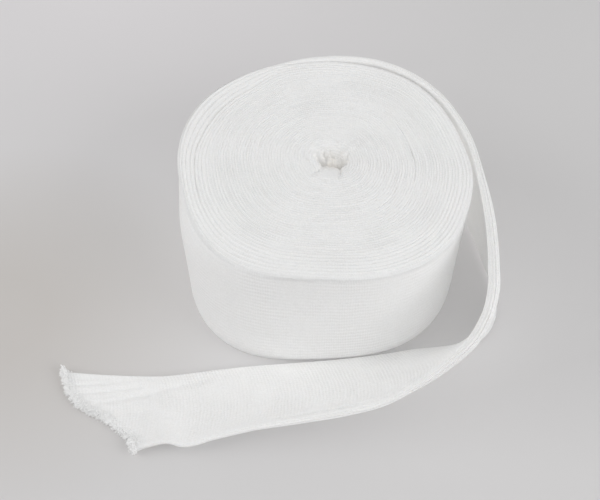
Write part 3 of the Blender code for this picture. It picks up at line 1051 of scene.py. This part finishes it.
def tail_shares():
    """Shares across the tube, close together near its two edges."""
    lower = np.array(LOWER_EDGE_DISTANCES) * MM / TUBE_WIDTH
    round_edge = UPPER_EDGE_ROUND * (1.0 - np.cos(np.linspace(0.0, math.pi / 2.0, UPPER_EDGE_STEPS)))
    upper = 1.0 - np.concatenate([round_edge, UPPER_EDGE_DISTANCES]) * MM / TUBE_WIDTH
    inner = np.linspace(lower[-1], upper[-1], TAIL_MIDDLE_SHARES)[1:-1]
    return np.concatenate([lower, inner, upper[::-1]])


def knit_along(run):
    """The length of knit before it was drawn out: the lying stretch has been pulled longer and narrower."""
    table = np.linspace(0.0, 1.0, 401)
    undrawn = 1.0 / (1.0 + (DRAWN_OUT - 1.0) * smooth_step(table, *DRAWN_OUT_RUN))
    steps = (undrawn[1:] + undrawn[:-1]) / 2.0 * np.diff(table)
    return np.interp(run, table, running_total(steps))


def tube_loop(front, back):
    """One closed section from the points of its two faces, which share their first and last points."""
    return np.concatenate([front, back[-2:0:-1]])


def make_tail(tail, material):
    shares = tail_shares()
    count = len(shares)
    stations = np.linspace(0.0, tail.length, round(tail.length / TAIL_STATION) + 1)
    sections = [(along, 0.0) for along in stations]
    # The mouth: the inner face of both layers, from the cut back into the tube
    sections += [(tail.length - step * MOUTH_DEPTH, LAYER_THICKNESS) for step in MOUTH_STEPS]
    loops, knits = [], []
    for along, inset in sections:
        line = np.full(count, along)
        front = tail.surface_points(line, shares, 1.0, inset)
        back = tail.surface_points(line, shares, -1.0, inset)
        loops.append(tube_loop(front, back))
        place = knit_along(tail.place_of(line, shares))
        face = np.stack([place, shares * TUBE_WIDTH], axis=1)
        other = np.stack([place, (2.0 - shares) * TUBE_WIDTH], axis=1)
        knits.append(tube_loop(face, other))
    points = np.array(loops)
    knit = np.array(knits)
    surface = Surface()
    around = points.shape[1]
    faces = [tuple(reversed(face)) for face in grid_faces(len(sections), around, closed=True)]
    surface.add(points[..., 0], points[..., 1], points[..., 2], knit[..., 0], knit[..., 1], faces)
    for ring, starts in ((0, True), ((len(sections) - 1) * around, False)):
        for i in range(around // 2):
            corners = (i, i + 1, (around - i - 1) % around, (around - i) % around)
            strip = list(dict.fromkeys(ring + corner for corner in corners))
            surface.faces.append(tuple(strip if starts else reversed(strip)))
    return surface.build("loose_tail", material)


def add_tube(surface, path, radius, sides):
    """A round thread along a path of points."""
    heading = unit(np.gradient(path, axis=0))
    helper = np.where(np.abs(heading[:, 2:3]) < STEEP, [[0.0, 0.0, 1.0]], [[1.0, 0.0, 0.0]])
    first = unit(np.cross(heading, helper))
    second = np.cross(heading, first)
    turn = np.linspace(0.0, math.tau, sides, endpoint=False)
    taper = np.ones(len(path))
    taper[0] = THREAD_TAPER
    taper[-1] = THREAD_TAPER
    ring = first[:, None, :] * np.cos(turn)[None, :, None]
    ring = ring + second[:, None, :] * np.sin(turn)[None, :, None]
    points = path[:, None, :] + ring * (radius * taper)[:, None, None]
    along = np.arange(len(path))[:, None] * THREAD_KNIT_STEP
    across = turn[None, :] * radius
    faces = grid_faces(len(path), sides, closed=True)
    last = (len(path) - 1) * sides
    faces.append(tuple(reversed(range(sides))))
    faces.append(tuple(last + i for i in range(sides)))
    surface.add(points[..., 0], points[..., 1], points[..., 2], along, across, faces)


def thread_path(start, out, side, lift, reach, spread, rise, hook, points):
    """A curled thread: it goes out, bends sideways and comes part of the way back."""
    t = np.linspace(0.0, 1.0, points)[:, None]
    forth = np.sin(math.pi * hook * t) / math.sin(math.pi * min(hook, 0.5))
    sideways = side * spread * t ** THREAD_SPREAD_POWER
    return start + out * reach * forth + sideways + lift * rise * np.sin(math.pi * t)


def make_fray(tail, material):
    """Yarn loops along the cut of both layers, tangled threads at its corners, and fine stray fibres."""
    rng = np.random.default_rng(SEED)
    surface = Surface()
    shares = np.linspace(0.0, 1.0, CUT_POINTS)
    place = tail.place_of(np.full(CUT_POINTS, tail.length), shares)
    edge, heading, _, facing, width = tail.frame_at(place, shares)
    half = tail.half_thickness(place, shares, width)
    lengths = running_total(np.linalg.norm(np.diff(edge, axis=0), axis=1))
    slope = unit(np.gradient(edge, axis=0))
    out = unit(np.cross(facing, slope))
    out *= np.sign(np.sum(out * heading, axis=1))[:, None]
    up = np.array([0.0, 0.0, 1.0])

    def read(values, at):
        return np.array([np.interp(at, lengths, values[:, i]) for i in range(3)])

    def edge_start(at, side):
        offset = np.interp(at, lengths, half) - LAYER_THICKNESS / 2.0
        return read(edge, at) + read(facing, at) * side * max(offset, 0.0)

    def throw(kind, start, ahead, sideways, lift):
        """Add one thread, drawing its measures from those of its kind."""
        *ranges, thick, hooks, points, sides = THREAD_KINDS[kind]
        reach, spread, rise = (rng.uniform(*limits) * MM for limits in ranges)
        hook = rng.uniform(*hooks)
        path = thread_path(start, ahead, sideways, lift, reach, spread, rise, hook, points)
        radius = thick[0] if len(thick) == 1 else rng.uniform(*thick)
        add_tube(surface, path, radius * MM, sides)

    for side in (1.0, -1.0):
        for at in np.arange(0.0, lengths[-1], LOOP_SPACING):
            at = at + rng.uniform(-LOOP_SHIFT, LOOP_SHIFT) * LOOP_SPACING
            start = edge_start(at, side) - read(out, at) * LOOP_BACK
            throw("loop", start, read(out, at), read(slope, at), read(facing, at) * side)
    # Curled ends that lie back over the cloth near the cut
    for _ in range(CURL_COUNT):
        at = rng.uniform(0.0, lengths[-1])
        side = rng.choice([-1.0, 1.0], p=CURL_SIDE_SHARES)
        turn = rng.uniform(0.0, math.tau)
        sideways = read(slope, at)
        ahead = read(out, at)
        lift = read(facing, at) * side
        start = edge_start(at, side) - ahead * rng.uniform(*CURL_BACK) + lift * CURL_LIFT
        turned = ahead * math.cos(turn) + sideways * math.sin(turn)
        throw("curl", start, turned, sideways * math.cos(turn) - ahead * math.sin(turn), lift)
    for corner in (0.0, lengths[-1]):
        for _ in range(CORNER_THREADS):
            at = abs(corner - abs(rng.normal(0.0, CORNER_SPREAD)) * MM)
            direction = read(out, at) + read(slope, at) * rng.normal(0.0, CORNER_TURN)
            direction = direction + up * rng.uniform(0.0, CORNER_RISE)
            start = edge_start(at, rng.choice([-1.0, 1.0])) - read(out, at) * CORNER_BACK
            throw("corner", start, unit(direction), read(slope, at), up)
    for _ in range(FIBRE_COUNT):
        at = rng.uniform(0.0, lengths[-1])
        direction = read(out, at) + rng.normal(0.0, FIBRE_TURN, 3)
        start = edge_start(at, rng.choice([-1.0, 1.0]))
        throw("fibre", start, unit(direction), read(slope, at), up)
    for points in surface.points:
        points[:, 2] = np.maximum(points[:, 2], FRAY_LOWEST)
    return surface.build("frayed_end", material)


class Nodes:
    """One material's shader nodes, with small helpers that add and link them."""

    def __init__(self, name):
        self.material = bpy.data.materials.new(name)
        self.material.use_nodes = True
        self.tree = self.material.node_tree
        self.tree.nodes.clear()
        self.shader = self.add("ShaderNodeBsdfPrincipled")
        self.output = self.add("ShaderNodeOutputMaterial")
        self.place = self.add("ShaderNodeTexCoord").outputs["Object"]

    def add(self, kind, **settings):
        node = self.tree.nodes.new(kind)
        for name, value in settings.items():
            setattr(node, name, value)
        return node

    def feed(self, socket, value):
        if isinstance(value, bpy.types.NodeSocket):
            self.tree.links.new(value, socket)
        else:
            socket.default_value = value

    def math(self, operation, first, second=0.0, third=0.0):
        node = self.add("ShaderNodeMath", operation=operation)
        for socket, value in zip(node.inputs, (first, second, third)):
            self.feed(socket, value)
        return node.outputs[0]

    def weigh(self, total, *pairs):
        """Add each value times its weight to a total."""
        for value, weight in pairs:
            total = self.math("MULTIPLY_ADD", value, weight, total)
        return total

    def wave(self, turns):
        return self.math("COSINE", self.math("MULTIPLY", turns, math.tau))

    def split(self, vector):
        node = self.add("ShaderNodeSeparateXYZ")
        self.feed(node.inputs[0], vector)
        return node.outputs

    def spread(self, value, given, wanted):
        """Map one range of values onto another."""
        node = self.add("ShaderNodeMapRange")
        self.feed(node.inputs["Value"], value)
        names = ("From Min", "From Max", "To Min", "To Max")
        for name, number in zip(names, given + wanted):
            node.inputs[name].default_value = number
        return node.outputs[0]

    def noise(self, vector, scale, detail, roughness):
        node = self.add("ShaderNodeTexNoise")
        self.feed(node.inputs["Vector"], vector)
        node.inputs["Scale"].default_value = scale
        node.inputs["Detail"].default_value = detail
        node.inputs["Roughness"].default_value = roughness
        return node.outputs["Fac"]

    def ramp(self, value, dark, light):
        node = self.add("ShaderNodeValToRGB")
        for element, colour in zip(node.color_ramp.elements, (dark, light)):
            element.color = colour
        self.feed(node.inputs[0], value)
        return node.outputs[0]

    def tint_near(self, colour, middle, reach, share, tint):
        """Multiply a colour by a tint near one place, fading over the reach."""
        apart = self.add("ShaderNodeVectorMath", operation="DISTANCE")
        self.feed(apart.inputs[0], self.place)
        apart.inputs[1].default_value = middle
        mix = self.add("ShaderNodeMix", data_type="RGBA", blend_type="MULTIPLY")
        self.feed(mix.inputs[0], self.spread(apart.outputs["Value"], reach, (share, 0.0)))
        self.feed(mix.inputs[6], colour)
        mix.inputs[7].default_value = tint
        return mix.outputs[2]

    def set_shader(self, settings):
        for name, value in settings.items():
            self.shader.inputs[name].default_value = value


def knit_height(nodes, along, across, ribs, legs, courses, from_fold):
    """The knit's relief: ribs and legs of yarn along the tube, and courses across it, a little uneven."""
    drift = nodes.math("SUBTRACT", nodes.noise(nodes.place, *DRIFT_NOISE), 0.5)
    course_turns = nodes.weigh(nodes.math("DIVIDE", along, COURSE), (drift, COURSE_DRIFT))
    wale_turns = nodes.weigh(nodes.math("DIVIDE", across, WALE), (drift, WALE_DRIFT))
    rib_turns = nodes.weigh(nodes.math("DIVIDE", across, RIB), (drift, RIB_DRIFT))
    # Each wale has two legs of yarn, which slant from its middle
    off = nodes.math("ABSOLUTE", nodes.math("SUBTRACT", nodes.math("FRACT", wale_turns), 0.5))
    leg = nodes.wave(nodes.math("MULTIPLY", off, 2.0))
    if from_fold:
        # Courses bow across the tube
        share = nodes.math("DIVIDE", from_fold, TUBE_WIDTH)
        bow = nodes.math("MULTIPLY", share, nodes.math("SUBTRACT", 1.0, share))
        course_turns = nodes.weigh(course_turns, (bow, 4.0 * COURSE_BOW))
    course = nodes.wave(nodes.weigh(course_turns, (off, LEG_SLANT)))
    rib = nodes.wave(rib_turns)
    if from_fold:
        # They show less along its fold, and near the roll the knit is like that of the wall
        course = nodes.math("MULTIPLY", course, nodes.spread(from_fold, FOLD_PLAIN, (COURSE_AT_FOLD, 1.0)))
        course = nodes.math("MULTIPLY", course, nodes.spread(along, NEAR_ROLL, (COURSE_NEAR_ROLL, 1.0)))
        rib = nodes.math("MULTIPLY", rib, nodes.spread(along, NEAR_ROLL, (RIB_NEAR_ROLL, 1.0)))
    return nodes.weigh(0.5, (rib, ribs / 2.0), (leg, legs / -2.0), (course, courses / 2.0))


def let_light_through(nodes, bump, along, from_fold, through):
    """Light comes through the thin cloth, but not along its fold or where it lies on the table."""
    glow = nodes.add("ShaderNodeBsdfTranslucent")
    glow.inputs["Color"].default_value = THROUGH_COLOUR
    nodes.feed(glow.inputs["Normal"], bump)
    mix = nodes.add("ShaderNodeMixShader")
    lying = nodes.spread(along, LYING_RUN, (through, LYING_THROUGH))
    fold = nodes.spread(from_fold, FOLD_SOLID, (FOLD_THROUGH, 1.0))
    lead = nodes.spread(along, LEAD_RUN, (0.0, 1.0))
    nodes.feed(mix.inputs[0], nodes.math("MINIMUM", nodes.math("MINIMUM", lying, fold), lead))
    nodes.feed(mix.inputs[1], nodes.shader.outputs[0])
    nodes.feed(mix.inputs[2], glow.outputs[0])
    return mix.outputs[0]


def cloth_material(name, ribs, legs, courses, grain, bump_distance, through):
    nodes = Nodes(name)
    uv = nodes.add("ShaderNodeUVMap", uv_map="knit").outputs[0]
    along, across, _ = nodes.split(uv)
    fuzz = nodes.noise(nodes.place, *FUZZ_NOISE)
    lint = nodes.noise(nodes.place, *LINT_NOISE)
    # Single stitches, about a millimetre across
    stitch = nodes.noise(nodes.place, *STITCH_NOISE)
    knitted = ribs > 0.0
    from_fold = nodes.math("ABSOLUTE", nodes.math("SUBTRACT", across, TUBE_WIDTH)) if through else None
    if knitted:
        # The knit shows more in some places than in others
        patchy = nodes.spread(nodes.noise(nodes.place, *PATCH_NOISE), *PATCH_RANGES)
        relief = knit_height(nodes, along, across, ribs, legs, courses, from_fold)
        relief = nodes.math("MULTIPLY_ADD", nodes.math("SUBTRACT", relief, 0.5), patchy, 0.5)
    else:
        relief = nodes.noise(uv, *YARN_NOISE)
    grains = ((fuzz, FUZZ_BUMP * grain), (lint, LINT_BUMP * grain), (stitch, STITCH_BUMP * grain))
    bump = nodes.add("ShaderNodeBump")
    bump.inputs["Strength"].default_value = BUMP_STRENGTH
    bump.inputs["Distance"].default_value = bump_distance * MM
    nodes.feed(bump.inputs["Height"], nodes.weigh(relief, *grains))
    nodes.feed(nodes.shader.inputs["Normal"], bump.outputs[0])
    # The valleys of the knit are painted a touch darker, as painted shade, and the cotton is a little
    # uneven
    cloudy = nodes.noise(nodes.place, *CLOUD_NOISE)
    shade = nodes.weigh(SHADE_START, (relief, RELIEF_PAINTED_SHADE), (cloudy, CLOUD_SHADE), (lint, LINT_SHADE))
    shade = nodes.weigh(shade, (nodes.math("SUBTRACT", stitch, 0.5), STITCH_SHADE * grain))
    dark, light = (CLOTH_DARK, CLOTH_LIGHT) if knitted else (YARN_DARK, YARN_LIGHT)
    colour = nodes.ramp(shade, dark, light)
    # Painted shade: the drawn-in middle is tinted darker and warmer for the shade in its hollow
    colour = nodes.tint_near(colour, MIDDLE_SHADE_PLACE, MIDDLE_SHADE_REACH, MIDDLE_SHADE_SHARE, MIDDLE_SHADE_TINT)
    nodes.feed(nodes.shader.inputs["Base Color"], colour)
    nodes.feed(nodes.shader.inputs["Roughness"], nodes.spread(lint, (0.0, 1.0), ROUGHNESS_RANGE))
    nodes.set_shader(COTTON_SETTINGS)
    nodes.set_shader({"Subsurface Weight": KNIT_SUBSURFACE if knitted else YARN_SUBSURFACE})
    surface = nodes.shader.outputs[0]
    if through:
        surface = let_light_through(nodes, bump.outputs[0], along, from_fold, through)
    nodes.feed(nodes.output.inputs["Surface"], surface)
    return nodes.material


def floor_material():
    nodes = Nodes("pale table")
    colour = nodes.ramp(nodes.noise(nodes.place, *FLOOR_NOISE), FLOOR_DARK, FLOOR_LIGHT)
    # Painted shade at the left and painted light at the back
    for middle, reach, painted_tint in FLOOR_PAINTED_SHADE_AND_LIGHT:
        colour = nodes.tint_near(colour, middle, reach, 1.0, painted_tint)
    nodes.feed(nodes.shader.inputs["Base Color"], colour)
    nodes.set_shader(FLOOR_SETTINGS)
    nodes.feed(nodes.output.inputs["Surface"], nodes.shader.outputs[0])
    return nodes.material


def make_camera():
    data = bpy.data.cameras.new("view")
    data.lens = CAMERA_LENS
    data.sensor_width = CAMERA_SENSOR
    data.sensor_fit = "HORIZONTAL"
    data.clip_start = CAMERA_NEAR
    camera = bpy.data.objects.new("view", data)
    camera.location = CAMERA_PLACE
    camera.rotation_euler = (math.radians(90.0 - CAMERA_PITCH_DOWN), 0.0, 0.0)
    bpy.context.scene.collection.objects.link(camera)
    bpy.context.scene.camera = camera


def make_floor():
    mesh = bpy.data.meshes.new("table_top")
    corners = [(x * FLOOR_REACH, y * FLOOR_REACH, 0.0) for x, y in ((-1, -1), (1, -1), (1, 1), (-1, 1))]
    mesh.from_pydata(corners, [], [(0, 1, 2, 3)])
    mesh.materials.append(floor_material())
    floor = bpy.data.objects.new("table_top", mesh)
    bpy.context.scene.collection.objects.link(floor)


def area_light(name, x, y, z, width, height, power, casts_shadows):
    """A soft box that faces the target."""
    data = bpy.data.lights.new(name, "AREA")
    data.shape = "RECTANGLE"
    data.size = width
    data.size_y = height
    data.energy = power
    data.use_shadow = casts_shadows
    data.cycles.use_multiple_importance_sampling = casts_shadows
    light = bpy.data.objects.new(name, data)
    light.location = (x, y, z)
    away_x, away_y, away_z = (a - b for a, b in zip(LIGHT_TARGET, (x, y, z)))
    tilt = math.atan2(math.hypot(away_x, away_y), -away_z)
    light.rotation_euler = (tilt, 0.0, math.atan2(away_y, away_x) - math.pi / 2.0)
    bpy.context.scene.collection.objects.link(light)


def make_light():
    for row in LIGHT_ROWS:
        area_light(*row)
    world = bpy.data.worlds.new("studio")
    world.use_nodes = True
    background = world.node_tree.nodes["Background"]
    background.inputs["Color"].default_value = WORLD_COLOUR
    background.inputs["Strength"].default_value = WORLD_STRENGTH
    bpy.context.scene.world = world
    bpy.context.scene.view_settings.view_transform = "Standard"


def main():
    make_camera()
    make_floor()
    make_light()
    wound_knit, thin_knit, yarn = (cloth_material(*row) for row in CLOTH_ROWS)
    tail = Tail()
    roll_piece = make_roll(wound_knit)
    tail_piece = make_tail(tail, thin_knit)
    fray_piece = make_fray(tail, yarn)
    for piece, node in ((roll_piece, "roll"), (tail_piece, "tail"), (fray_piece, "tail")):
        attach(piece, "root")
        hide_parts(node)


main()
